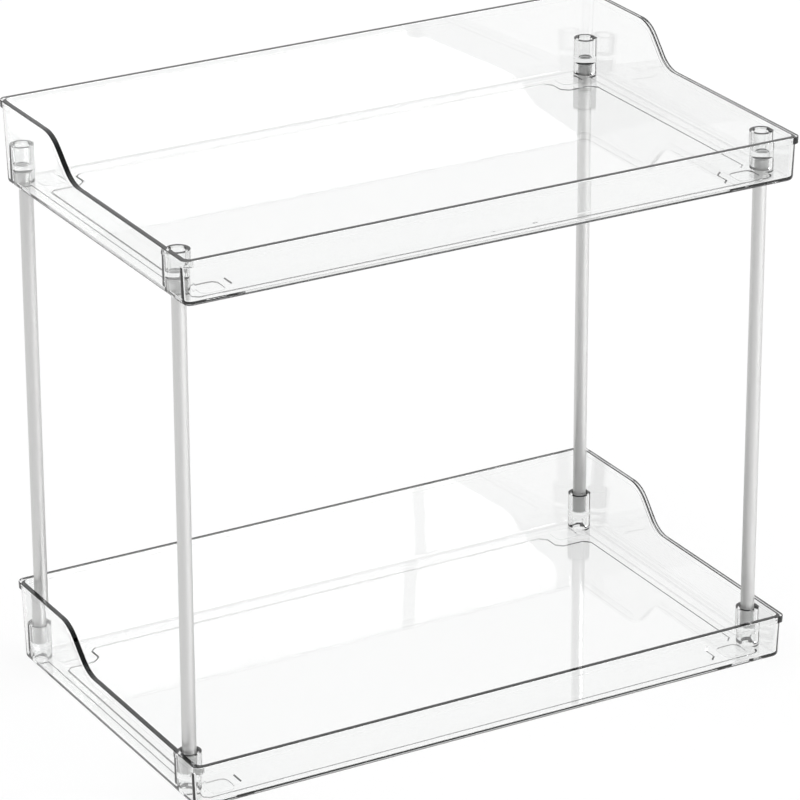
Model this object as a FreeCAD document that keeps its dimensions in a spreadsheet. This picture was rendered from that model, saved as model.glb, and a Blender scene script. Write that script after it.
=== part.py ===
"""Two-tier clear shelf organiser: two identical moulded trays on four push-fit posts.

The origin is the middle of the footprint at floor level, +X runs to the right, +Y to the high
back wall and +Z up. Each tray is drawn about its own datum, the underside of its outer edge,
and then placed at its tier.
"""
import FreeCAD
import Part
import math
import os

import Sketcher

Vector = FreeCAD.Vector
Rotation = FreeCAD.Rotation
SIDE_PLANE = Rotation(0.5, 0.5, 0.5, 0.5)  # sketch x -> Y, sketch y -> Z, normal -> X
ORIGIN_POINT = (-1, 1)  # the sketcher's own name for the sketch origin
OVERLAP = 1.0  # how far a cutting or joining solid runs past the face it meets

DIMENSIONS = {
    # tray walls, measured at the tray's underside
    "tray_length": 302.0,
    "tray_depth": 174.7,
    "corner_radius": 4.0,
    "front_height": 20.9,
    "back_height": 38.5,
    "draft": 2.0,
    "wall": 2.0,
    "base": 1.8,
    "outer_fillet": 2.0,
    "inner_fillet": 0.8,
    # thickened rim
    "rim_step": 0.45,
    "rim_drop": 3.2,
    "rim_corner": 2.4,
    "rim_round": 0.35,
    # side walls: distances of the S-curve's two ends from the back edge
    "ramp_top": 45.0,
    "ramp_foot": 76.5,
    "ramp_radius": 17.0,
    # foot ring under the floor: it runs along the walls and widens in the corners
    "ring_outer": 7.2,
    "ring_inner": 11.7,
    "ring_drop": 0.8,
    "ring_slope": 45.0,
    "ring_corner": 3.0,
    "notch_side": 28.5,
    "notch_front": 24.7,
    "notch_back": 24.5,
    "notch_cut": 3.0,
    # post sockets
    "socket_side": 6.3,
    "socket_front": 19.2,
    "socket_back": 7.9,
    "socket_outer": 5.4,
    "socket_bore": 3.25,
    "socket_top": 18.8,
    "socket_lead": 0.65,
    "socket_ledge": 2.8,
    "web_low": 6.5,
    "web_thick": 3.2,
    # posts
    "post_radius": 3.175,
    "post_length": 230.0,
    "post_bevel": 0.4,
    # anti-slip pads and their seats
    "pad_length": 11.5,
    "pad_width": 10.9,
    "pad_corner": 3.0,
    "pad_thick": 1.2,
    "pad_seat": 0.6,
    "pad_round": 0.3,
    "pad_shift": 11.5,
    "pad_forward": 4.2,
    "seat_gap": 0.2,
}

CORNERS = {
    "front_left": (-1, -1),
    "front_right": (1, -1),
    "rear_left": (-1, 1),
    "rear_right": (1, 1),
}

# heights above the floor of the lower tray's datum, then of every level that depends on it
LOWER_LEVEL = "dims.ring_drop + dims.pad_thick - dims.pad_seat"
UPPER_LEVEL = LOWER_LEVEL + " + dims.post_length + dims.web_thick"
WEB_TOP = "dims.web_low + dims.web_thick"

doc = FreeCAD.newDocument("two_tier_shelf")
sheet = doc.addObject("Spreadsheet::Sheet", "dims")
for row, (alias, number) in enumerate(DIMENSIONS.items(), start=1):
    sheet.set(f"A{row}", alias)
    sheet.set(f"B{row}", str(number))
    sheet.setAlias(f"B{row}", alias)
doc.recompute()


def add(kind, name, **expressions):
    """Adds an object to the document and binds its sizes to the sheet."""
    item = doc.addObject(kind, name)
    bind(item, **expressions)
    return item


def bind(item, **expressions):
    """Binds properties to sheet expressions; x, y and z stand for the placement."""
    paths = {axis: f".Placement.Base.{axis}" for axis in "xyz"}
    for key, expression in expressions.items():
        item.setExpression(paths.get(key, key), expression)


def drive(sketch, constraint, expression):
    """Adds a dimension to a sketch and binds it to the sheet."""
    index = sketch.addConstraint(constraint)
    sketch.setExpression(f"Constraints[{index}]", expression)


def draw_rounded(sketch, length, depth, radius):
    """Draws a rounded rectangle, centred on the origin, into a sketch."""
    half = float(sheet.evalExpression(length)) / 2
    side = float(sheet.evalExpression(depth)) / 2
    turn = float(sheet.evalExpression(radius))
    quarter = math.pi / 2
    corners = [(half, -side), (half, side), (-half, side), (-half, -side)]
    for index, (x, y) in enumerate(corners):
        x_in = x - math.copysign(turn, x)
        y_in = y - math.copysign(turn, y)
        start = (index - 1) * quarter
        circle = Part.Circle(Vector(x_in, y_in), Vector(0, 0, 1), turn)
        sketch.addGeometry(Part.ArcOfCircle(circle, start, start + quarter))
    for index in range(4):
        after = (index + 1) % 4
        here = sketch.getPoint(index, 2)
        there = sketch.getPoint(after, 1)
        sketch.addGeometry(Part.LineSegment(here, there))
        sketch.addConstraint(Sketcher.Constraint("Tangent", index, 2, index + 4, 1))
        sketch.addConstraint(Sketcher.Constraint("Tangent", index + 4, 2, after, 1))
        if index:
            sketch.addConstraint(Sketcher.Constraint("Equal", 0, index))
    sketch.addConstraint(Sketcher.Constraint("Vertical", 4))
    sketch.addConstraint(Sketcher.Constraint("Horizontal", 5))
    middle = Sketcher.Constraint("Symmetric", 4, 1, 6, 1, *ORIGIN_POINT)
    sketch.addConstraint(middle)
    drive(sketch, Sketcher.Constraint("DistanceX", 6, 1, 4, 1, 2 * half), length)
    drive(sketch, Sketcher.Constraint("DistanceY", 7, 1, 5, 1, 2 * side), depth)
    drive(sketch, Sketcher.Constraint("Radius", 0, turn), radius)


def rounded_sketch(name, length, depth, radius, level):
    """A free-standing rounded-rectangle sketch at a height."""
    sketch = add("Sketcher::SketchObject", name, z=level)
    draw_rounded(sketch, length, depth, radius)
    return sketch


def prism(name, profile, height, taper="0"):
    """A solid raised from a sketch along the sketch's normal."""
    solid = add("Part::Extrusion", name, LengthFwd=height, TaperAngle=taper)
    solid.Base = profile
    solid.DirMode = "Normal"
    solid.Solid = True
    return solid


def join(name, *parts):
    fused = doc.addObject("Part::MultiFuse", name)
    fused.Shapes = list(parts)
    return fused


def common(name, first, second):
    shared = doc.addObject("Part::MultiCommon", name)
    shared.Shapes = [first, second]
    return shared


def cut(name, base, tool):
    left = doc.addObject("Part::Cut", name)
    left.Base = base
    left.Tool = tool
    return left


def new_body(name):
    body = doc.addObject("PartDesign::Body", name)
    body.Label = name
    return body


def floor_sketch(body, name):
    """A sketch on the XY plane of a body."""
    sketch = body.newObject("Sketcher::SketchObject", name)
    for plane in body.Origin.OriginFeatures:
        if plane.Role == "XY_Plane":
            sketch.AttachmentSupport = [(plane, "")]
    sketch.MapMode = "FlatFace"
    return sketch


def edges_at(feature, level):
    """Names the edges of a feature that lie flat at one height of its body."""
    names = []
    for index, edge in enumerate(feature.Shape.Edges, start=1):
        box = edge.BoundBox
        if abs(box.ZMin - level) < 1e-4 and abs(box.ZMax - level) < 1e-4:
            names.append(f"Edge{index}")
    return names


def drafted_block(name, inset, level, corner, fillet):
    """A block with the tray's draft and a rounded lower edge.

    The inset is measured at the tray's datum, so the block's foot is wider by the draft that
    the wall has gained at its level.
    """
    body = new_body(name)
    bind(body, z=level)
    reach = f"({inset}) - ({level}) * tan(dims.draft * 1deg)"
    sketch = floor_sketch(body, name + "_outline")
    draw_rounded(
        sketch,
        f"dims.tray_length - 2 * ({reach})",
        f"dims.tray_depth - 2 * ({reach})",
        corner,
    )
    pad = body.newObject("PartDesign::Pad", name + "_pad")
    pad.Profile = sketch
    bind(pad, Length="dims.back_height + 5", TaperAngle="dims.draft")
    doc.recompute()
    rounded = body.newObject("PartDesign::Fillet", name + "_foot")
    rounded.Base = (pad, edges_at(pad, 0))
    bind(rounded, Radius=fillet)
    body.Tip = rounded
    return body


def side_profile(name, drop):
    """A prism across the tray, up to the side walls' top line lowered by a distance.

    Both arcs keep their centres, so the lowered line runs parallel to the top line.
    """
    run = 2 * sheet.tray_depth
    low = -run / 4
    depth = sheet.tray_depth / 2
    foot = depth - sheet.ramp_foot
    top = depth - sheet.ramp_top
    fall = 0.0 if drop == "0" else sheet.rim_drop
    hollow = sheet.ramp_radius + fall
    crown = sheet.ramp_radius - fall
    front = sheet.front_height - fall
    back = sheet.back_height - fall
    across = top - foot
    rise = (back - crown) - (front + hollow)
    slope = math.atan2(rise, across) + math.asin((hollow + crown) / math.hypot(across, rise))
    turn = Vector(math.sin(slope), -math.cos(slope))
    hollow_centre = Vector(foot, front + hollow)
    crown_centre = Vector(top, back - crown)
    corners = [
        Vector(-run / 2, low),
        Vector(-run / 2, front),
        Vector(foot, front),
        hollow_centre + turn * hollow,
        crown_centre - turn * crown,
        Vector(top, back),
        Vector(run / 2, back),
        Vector(run / 2, low),
    ]
    sketch = doc.addObject("Sketcher::SketchObject", name + "_line")
    sketch.Placement = FreeCAD.Placement(Vector(), SIDE_PLANE)
    hollow_circle = Part.Circle(hollow_centre, Vector(0, 0, 1), hollow)
    crown_circle = Part.Circle(crown_centre, Vector(0, 0, 1), crown)
    start = -math.pi / 2
    curves = [
        Part.LineSegment(corners[0], corners[1]),
        Part.LineSegment(corners[1], corners[2]),
        Part.ArcOfCircle(hollow_circle, start, start + slope),
        Part.LineSegment(corners[3], corners[4]),
        Part.ArcOfCircle(crown_circle, -start, slope - start),
        Part.LineSegment(corners[5], corners[6]),
        Part.LineSegment(corners[6], corners[7]),
        Part.LineSegment(corners[7], corners[0]),
    ]
    sketch.addGeometry(curves)
    for first, end, second, begin in ((0, 2, 1, 1), (5, 2, 6, 1), (6, 2, 7, 1), (7, 2, 0, 1)):
        sketch.addConstraint(Sketcher.Constraint("Coincident", first, end, second, begin))
    for first, end, second, begin in ((1, 2, 2, 1), (2, 2, 3, 1), (3, 2, 4, 2), (4, 1, 5, 1)):
        sketch.addConstraint(Sketcher.Constraint("Tangent", first, end, second, begin))
    for line in (1, 5, 7):
        sketch.addConstraint(Sketcher.Constraint("Horizontal", line))
    for line in (0, 6):
        sketch.addConstraint(Sketcher.Constraint("Vertical", line))
    half = "dims.tray_depth / 2"
    drive(sketch, Sketcher.Constraint("Radius", 2, hollow), f"dims.ramp_radius + {drop}")
    drive(sketch, Sketcher.Constraint("Radius", 4, crown), f"dims.ramp_radius - {drop}")
    for curve, place, distance in ((2, foot, "ramp_foot"), (4, top, "ramp_top")):
        constraint = Sketcher.Constraint("DistanceX", *ORIGIN_POINT, curve, 3, place)
        drive(sketch, constraint, f"{half} - dims.{distance}")
    for curve, place, distance in ((1, front, "front_height"), (5, back, "back_height")):
        constraint = Sketcher.Constraint("DistanceY", *ORIGIN_POINT, curve, 1, place)
        drive(sketch, constraint, f"dims.{distance} - {drop}")
    for curve, end, side in ((0, 1, -1), (6, 2, 1)):
        reach = Sketcher.Constraint("DistanceX", *ORIGIN_POINT, curve, end, side * run / 2)
        drive(sketch, reach, f"{side} * dims.tray_depth")
    base_line = Sketcher.Constraint("DistanceY", *ORIGIN_POINT, 7, 1, low)
    drive(sketch, base_line, "-dims.tray_depth / 2")
    solid = prism(name, sketch, "2 * dims.tray_length")
    solid.Symmetric = True
    return solid


def ring_hollow(name, level):
    """The outline of the space inside the foot ring, at the ring's foot.

    It is a rectangle with a bevelled notch in each corner, where the sockets and pads are.
    """
    grow = sheet.ring_drop
    edge_x = sheet.tray_length / 2 - sheet.ring_inner + grow
    edge_y = sheet.tray_depth / 2 - sheet.ring_inner + grow
    notch_x = sheet.tray_length / 2 - sheet.notch_side + grow
    notch_y = {
        -1: sheet.tray_depth / 2 - sheet.notch_front + grow,
        1: sheet.tray_depth / 2 - sheet.notch_back + grow,
    }
    bevel = sheet.notch_cut
    points = []
    for side_x, side_y in ((1, -1), (1, 1), (-1, 1), (-1, -1)):
        stop = notch_y[side_y]
        quadrant = [
            (notch_x - bevel, edge_y),
            (notch_x, edge_y - bevel),
            (notch_x, stop + bevel),
            (notch_x + bevel, stop),
            (edge_x - bevel, stop),
            (edge_x, stop - bevel),
        ]
        if side_x * side_y > 0:
            quadrant.reverse()
        points += [Vector(side_x * x, side_y * y, 0) for x, y in quadrant]
    outline = doc.addObject("Part::Feature", name)
    outline.Shape = Part.makePolygon(points + points[:1])
    bind(outline, z=level)
    return outline


def foot_ring(name, level, height):
    """The ring that the tray stands on, narrower at its foot, with sides at 45 degrees."""
    foot = "dims.ring_outer + dims.ring_drop"
    outline = rounded_sketch(
        name + "_outline",
        f"dims.tray_length - 2 * ({foot})",
        f"dims.tray_depth - 2 * ({foot})",
        "dims.ring_corner",
        level,
    )
    outside = prism(name + "_outside", outline, height, "dims.ring_slope")
    hollow = ring_hollow(name + "_hollow_line", level)
    inside = prism(name + "_hollow", hollow, height, "-dims.ring_slope")
    return cut(name, outside, inside)


def socket_place(side_x, side_y):
    """Sheet expressions for the axis of the socket in one corner."""
    inset = "dims.socket_front" if side_y < 0 else "dims.socket_back"
    x = f"{side_x} * (dims.tray_length / 2 - dims.socket_side)"
    y = f"{side_y} * (dims.tray_depth / 2 - {inset})"
    return x, y


def pad_place(side_x, side_y):
    """Sheet expressions for the middle of the anti-slip pad beside one socket."""
    x, y = socket_place(side_x, side_y)
    return f"{x} - {side_x} * dims.pad_shift", f"{y} - dims.pad_forward"


def cylinder(name, x, y, low, high, radius):
    return add(
        "Part::Cylinder", name, x=x, y=y, z=low, Radius=radius, Height=f"({high}) - ({low})"
    )


def lead_in(name, x, y, mouth, pointing):
    """The bevel at a socket's mouth, widening in the direction the post leaves."""
    narrow = "dims.socket_bore"
    wide = "dims.socket_bore + 2 * dims.socket_lead"
    first, second = (narrow, wide) if pointing > 0 else (wide, narrow)
    low = f"({mouth}) - dims.socket_lead"
    return add(
        "Part::Cone", name, x=x, y=y, z=low, Radius1=first, Radius2=second,
        Height="2 * dims.socket_lead",
    )


def tray_sockets():
    """The four socket tubes and the tools that bore them from above and from below."""
    tubes = []
    bores = []
    for corner, sides in CORNERS.items():
        x, y = socket_place(*sides)
        radius = "dims.socket_outer"
        bore = "dims.socket_bore"
        low = "-dims.ring_drop"
        high = "dims.socket_top"
        tubes.append(cylinder(f"tube_{corner}", x, y, low, high, radius))
        above = f"{high} + {OVERLAP}"
        below = f"{low} - {OVERLAP}"
        bores.append(cylinder(f"upper_bore_{corner}", x, y, WEB_TOP, above, bore))
        bores.append(cylinder(f"lower_bore_{corner}", x, y, below, "dims.web_low", bore))
        bores.append(lead_in(f"upper_lead_{corner}", x, y, high, 1))
        bores.append(lead_in(f"lower_lead_{corner}", x, y, low, -1))
    return tubes, bores


def pad_seats():
    """The shallow seats in the underside that the anti-slip pads are stuck into."""
    seats = []
    gap = "2 * dims.seat_gap"
    for corner, sides in CORNERS.items():
        x, y = pad_place(*sides)
        sketch = rounded_sketch(
            f"seat_line_{corner}",
            f"dims.pad_length + {gap}",
            f"dims.pad_width + {gap}",
            "dims.pad_corner + dims.seat_gap",
            f"-dims.ring_drop - {OVERLAP}",
        )
        bind(sketch, x=x, y=y)
        seats.append(prism(f"seat_{corner}", sketch, f"dims.pad_seat + {OVERLAP}"))
    return seats


def round_rim(name, shell):
    """Rounds the two edges that run all the way round the top of the rim."""
    doc.recompute()
    tops = []
    for face in shell.Shape.Faces:
        u_low, u_high, v_low, v_high = face.ParameterRange
        normal = face.normalAt((u_low + u_high) / 2, (v_low + v_high) / 2)
        high = face.CenterOfMass.z > sheet.front_height - sheet.rim_drop / 2
        if high and normal.z > 0.5:
            tops.append(face)
    numbers = []
    for index, edge in enumerate(shell.Shape.Edges, start=1):
        if sum(edge.isSame(side) for face in tops for side in face.Edges) == 1:
            numbers.append(index)
    rounded = doc.addObject("Part::Fillet", name)
    rounded.Base = shell
    rounded.Edges = [(index, sheet.rim_round, sheet.rim_round) for index in numbers]
    return rounded


def tray_blank():
    """The tray's walls, rim and floor, before the sockets are bored."""
    hollow = "dims.corner_radius - dims.wall"
    outer = drafted_block("wall_block", "0", "0", "dims.corner_radius", "dims.outer_fillet")
    rim = drafted_block("rim_block", "-dims.rim_step", "0", "dims.rim_corner", "dims.rim_round")
    inner = drafted_block("cavity", "dims.wall", "dims.base", hollow, "dims.inner_fillet")
    under_top = side_profile("under_top_line", "0")
    under_rim = side_profile("under_rim_line", "dims.rim_drop")
    walls = common("walls", outer, under_top)
    rim_zone = cut("rim_zone", under_top, under_rim)
    band = common("rim_band", rim, rim_zone)
    shell = round_rim("rounded_shell", cut("shell", join("walls_and_rim", walls, band), inner))
    ring = foot_ring("foot_ring", "-dims.ring_drop", "dims.ring_drop + 0.2")
    tubes, bores = tray_sockets()
    ledge = rounded_sketch(
        "ledge_line",
        "dims.tray_length - 2 * dims.socket_ledge",
        "dims.tray_depth - 2 * dims.socket_ledge",
        "dims.corner_radius - dims.socket_ledge",
        "-dims.ring_drop",
    )
    below = prism("ledge", ledge, "dims.ring_drop + dims.outer_fillet")
    room = join("room_for_tubes", outer, below)
    fitted = common("fitted_tubes", join("tubes", *tubes), room)
    blank = join("blank", shell, ring, fitted)
    return blank, join("tray_tools", *bores, *pad_seats())


def make_posts():
    posts = []
    foot = f"{LOWER_LEVEL} + {WEB_TOP}"
    for corner, sides in CORNERS.items():
        body = new_body(f"post_{corner}")
        x, y = socket_place(*sides)
        bind(body, x=x, y=y, z=foot)
        sketch = floor_sketch(body, f"post_section_{corner}")
        sketch.addGeometry(Part.Circle(Vector(), Vector(0, 0, 1), sheet.post_radius))
        sketch.addConstraint(Sketcher.Constraint("Coincident", 0, 3, *ORIGIN_POINT))
        drive(sketch, Sketcher.Constraint("Radius", 0, sheet.post_radius), "dims.post_radius")
        rod = body.newObject("PartDesign::Pad", f"rod_{corner}")
        rod.Profile = sketch
        bind(rod, Length="dims.post_length")
        doc.recompute()
        ends = edges_at(rod, 0) + edges_at(rod, sheet.post_length)
        bevel = body.newObject("PartDesign::Chamfer", f"rod_ends_{corner}")
        bevel.Base = (rod, ends)
        bind(bevel, Size="dims.post_bevel")
        body.Tip = bevel
        posts.append(body)
    return posts


def make_pads():
    pads = []
    for corner, sides in CORNERS.items():
        body = new_body(f"foot_pad_{corner}")
        x, y = pad_place(*sides)
        bind(body, x=x, y=y)
        sketch = floor_sketch(body, f"pad_outline_{corner}")
        draw_rounded(sketch, "dims.pad_length", "dims.pad_width", "dims.pad_corner")
        slab = body.newObject("PartDesign::Pad", f"pad_slab_{corner}")
        slab.Profile = sketch
        bind(slab, Length="dims.pad_thick")
        doc.recompute()
        rounded = body.newObject("PartDesign::Fillet", f"pad_edge_{corner}")
        rounded.Base = (slab, edges_at(slab, 0))
        bind(rounded, Radius="dims.pad_round")
        body.Tip = rounded
        pads.append(body)
    return pads


def make_trays():
    blank, tools = tray_blank()
    trays = []
    for name, level in (("lower_tray", LOWER_LEVEL), ("upper_tray", UPPER_LEVEL)):
        tray = cut(name, blank, tools)
        tray.Label = name
        bind(tray, z=level)
        trays.append(tray)
    return trays


def check(objects, solids):
    """Stops on a failed object or a sub-part that isn't one valid solid."""
    for item in objects:
        if "Invalid" in item.State or "Error" in item.State:
            raise RuntimeError(f"{item.Name} failed: {item.State}")
    for item in solids:
        shape = item.Shape
        if shape.isNull() or not shape.isValid() or len(shape.Solids) != 1:
            raise RuntimeError(f"{item.Label} isn't one valid solid")
        box = shape.BoundBox
        size = " x ".join(f"{v:.2f}" for v in (box.XLength, box.YLength, box.ZLength))
        print(f"{item.Label}: {size} mm, z {box.ZMin:.2f} to {box.ZMax:.2f}, {shape.Volume:.1f} mm3")


nodes = make_trays() + make_posts() + make_pads()
doc.recompute()
check(doc.Objects, nodes)
os.makedirs("parts", exist_ok=True)
for node in nodes:
    node.Shape.exportStep(f"parts/{node.Label}.step")
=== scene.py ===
"""Looks of the two-tier clear shelf organiser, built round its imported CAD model.

The CAD pieces keep their own meshes and places. This script gives them materials and adds a
camera, a plain floor and a soft white studio.
"""
import math

import bpy
from mathutils import Matrix, Vector

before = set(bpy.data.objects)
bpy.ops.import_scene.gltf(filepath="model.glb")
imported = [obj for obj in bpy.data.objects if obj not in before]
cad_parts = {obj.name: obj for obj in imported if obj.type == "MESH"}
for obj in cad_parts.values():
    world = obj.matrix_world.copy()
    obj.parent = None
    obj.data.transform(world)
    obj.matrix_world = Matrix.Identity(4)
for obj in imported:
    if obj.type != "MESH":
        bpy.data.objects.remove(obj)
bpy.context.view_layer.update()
scene = bpy.context.scene
MM = 0.001

# The camera: a long lens in front of the organiser, to its left and above it. Its angles are in
# radians and its lengths in millimetres.
AZIMUTH = 0.51565
ELEVATION = 0.40295
ROLL = -0.00324
AIM = Vector((0, 3.25, 122.2))
DISTANCE = 2071.1
SHIFT_SIDE = 1.04
SHIFT_UP = 5.52
SENSOR = 36.0
LENS = 206.55

# The studio, in metres. Directions point from the organiser to the wall or lamp.
FLOOR_HALF = 6.0
FLOOR_LEVEL = -0.1 * MM
EVEN_LIGHT = 1.1
BRIGHT_SIDE = (0.6, 0.8, 0.0)
ROOM_DIM, ROOM_BRIGHT = 0.3, 1.0
LAMP_SIDE = (0.5, -0.86, 0.15)
LAMP_STRENGTH = 7.0

# The part of a noise's range, mostly 0.3 to 0.7, over which a roughness changes.
WHOLE_NOISE = (0.3, 0.7)
UPPER_NOISE = (0.35, 0.75)


# ---------------------------------------------------------------- camera
def add_camera():
    """Places the camera by its angles and distance, then shifts it across its own view."""
    forward = Vector((
        math.sin(AZIMUTH) * math.cos(ELEVATION),
        math.cos(AZIMUTH) * math.cos(ELEVATION),
        -math.sin(ELEVATION),
    ))
    right = Vector((math.cos(AZIMUTH), -math.sin(AZIMUTH), 0))
    up = right.cross(forward)
    side = math.cos(ROLL) * right + math.sin(ROLL) * up
    top = math.cos(ROLL) * up - math.sin(ROLL) * right
    place = (
        AIM * MM - forward * DISTANCE * MM + side * SHIFT_SIDE * MM + top * SHIFT_UP * MM
    )
    data = bpy.data.cameras.new("camera")
    data.sensor_width = SENSOR
    data.lens = LENS
    data.clip_end = 50.0
    camera = bpy.data.objects.new("camera", data)
    turn = Matrix((side, top, -forward)).transposed().to_4x4()
    camera.matrix_world = Matrix.Translation(place) @ turn
    scene.collection.objects.link(camera)
    scene.camera = camera


# ---------------------------------------------------------------- node trees
class Nodes:
    """The node tree of a material or world, with short ways to add and join nodes."""

    def __init__(self, owner):
        owner.use_nodes = True
        self.tree = owner.node_tree
        self.tree.nodes.clear()

    def add(self, kind, **values):
        """Adds a node and sets its properties, or the inputs of that name."""
        node = self.tree.nodes.new("ShaderNode" + kind)
        for key, value in values.items():
            if hasattr(node, key):
                setattr(node, key, value)
            else:
                node.inputs[key.replace("_", " ")].default_value = value
        return node

    def link(self, source, target):
        self.tree.links.new(source, target)

    def between(self, value, low, high, start=0.0, end=1.0):
        """Maps a value's start..end to low..high."""
        span = self.add("MapRange")
        for index, number in enumerate((start, end, low, high), start=1):
            span.inputs[index].default_value = number
        self.link(value, span.inputs[0])
        return span.outputs[0]

    def merge(self, operation, first, second):
        """Joins two values with a maths operation."""
        node = self.add("Math", operation=operation)
        self.link(first, node.inputs[0])
        self.link(second, node.inputs[1])
        return node.outputs[0]

    def along(self, direction, side):
        """How far a direction points to one side, as a dot product."""
        node = self.add("VectorMath", operation="DOT_PRODUCT")
        node.inputs[1].default_value = side
        self.link(direction, node.inputs[0])
        return node.outputs["Value"]


class Surface(Nodes):
    """A material with one Principled shader."""

    def __init__(self, name, **values):
        self.material = bpy.data.materials.new(name)
        super().__init__(self.material)
        self.shader = self.add("BsdfPrincipled", **values)
        output = self.add("OutputMaterial")
        self.link(self.shader.outputs["BSDF"], output.inputs["Surface"])

    def roughen(self, scale, low, high, span=WHOLE_NOISE, stretch=(1, 1, 1)):
        """Lets the roughness wander from low to high with a noise over the object."""
        mapping = self.add("Mapping")
        mapping.inputs["Scale"].default_value = stretch
        self.link(self.add("TexCoord").outputs["Object"], mapping.inputs["Vector"])
        noise = self.add("TexNoise", Scale=scale, Detail=2.0, Roughness=0.5)
        self.link(mapping.outputs["Vector"], noise.inputs["Vector"])
        rough = self.between(noise.outputs["Fac"], low, high, *span)
        self.link(rough, self.shader.inputs["Roughness"])


# ---------------------------------------------------------------- materials
def clear_plastic():
    """Polished clear moulding, very slightly grey."""
    surface = Surface(
        "clear_plastic", Base_Color=(0.968, 0.972, 0.97, 1), Transmission_Weight=1.0, IOR=1.57
    )
    surface.roughen(35.0, 0.0, 0.03, span=UPPER_NOISE)
    return surface.material


def satin_metal():
    """Drawn rod, with fine streaks along its length."""
    surface = Surface("post_metal", Base_Color=(0.63, 0.63, 0.625, 1), Metallic=0.9)
    surface.roughen(2500.0, 0.38, 0.46, stretch=(1, 1, 0.02))
    return surface.material


def clear_rubber():
    """Soft clear pads that show little more than their outlines."""
    surface = Surface("pad_rubber", Base_Color=(0.93, 0.94, 0.94, 1), Alpha=0.15, IOR=1.41)
    surface.roughen(900.0, 0.35, 0.55)
    return surface.material


def pale_floor():
    surface = Surface(
        "floor", Base_Color=(0.92, 0.92, 0.92, 1), Roughness=0.9, Specular_IOR_Level=0.0
    )
    return surface.material


def wear(piece, material):
    """Puts a material in every slot of a piece."""
    for slot in piece.material_slots:
        slot.material = material


# ---------------------------------------------------------------- studio
def add_floor():
    data = bpy.data.meshes.new("floor")
    signs = ((-1, -1), (1, -1), (1, 1), (-1, 1))
    corners = [(x * FLOOR_HALF, y * FLOOR_HALF, FLOOR_LEVEL) for x, y in signs]
    data.from_pydata(corners, [], [(0, 1, 2, 3)])
    floor = bpy.data.objects.new("floor", data)
    data.materials.append(pale_floor())
    scene.collection.objects.link(floor)


def add_world():
    """Even white light for the background and matt surfaces.

    Reflections and clear plastic see a room instead, bright beyond the organiser, dimmer behind
    the camera, and with one broad lamp in front.
    """
    world = bpy.data.worlds.new("studio")
    scene.world = world
    n = Nodes(world)
    direction = n.add("TexCoord").outputs["Generated"]
    walls = n.between(n.along(direction, BRIGHT_SIDE), ROOM_DIM, ROOM_BRIGHT, 0.0, 0.35)
    lamp_side = Vector(LAMP_SIDE).normalized()
    lamp = n.between(n.along(direction, lamp_side), 0.0, LAMP_STRENGTH, 0.86, 0.93)
    room = n.add("Background")
    n.link(n.merge("ADD", walls, lamp), room.inputs["Color"])
    even = n.add("Background", Color=(1, 1, 1, 1), Strength=EVEN_LIGHT)
    path = n.add("LightPath").outputs
    pick = n.merge("MAXIMUM", path["Is Diffuse Ray"], path["Is Camera Ray"])
    mix = n.add("MixShader")
    n.link(pick, mix.inputs[0])
    n.link(room.outputs[0], mix.inputs[1])
    n.link(even.outputs[0], mix.inputs[2])
    n.link(mix.outputs[0], n.add("OutputWorld").inputs["Surface"])
    world.cycles.sampling_method = "NONE"  # or the clear pieces would shade the floor


def set_light_paths():
    """Many passes through clear walls, but one reflection, which leaves rims and edges dark."""
    scene.cycles.transmission_bounces = 24
    scene.cycles.max_bounces = 48
    scene.cycles.glossy_bounces = 1


add_camera()
add_world()
add_floor()
set_light_paths()
scene.view_settings.view_transform = "Standard"

plastic = clear_plastic()
metal = satin_metal()
rubber = clear_rubber()
for name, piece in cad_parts.items():
    if name.startswith("post"):
        wear(piece, metal)
    else:
        wear(piece, plastic if name.endswith("tray") else rubber)
        piece.visible_diffuse = False  # clear pieces leave no shadow on the floor
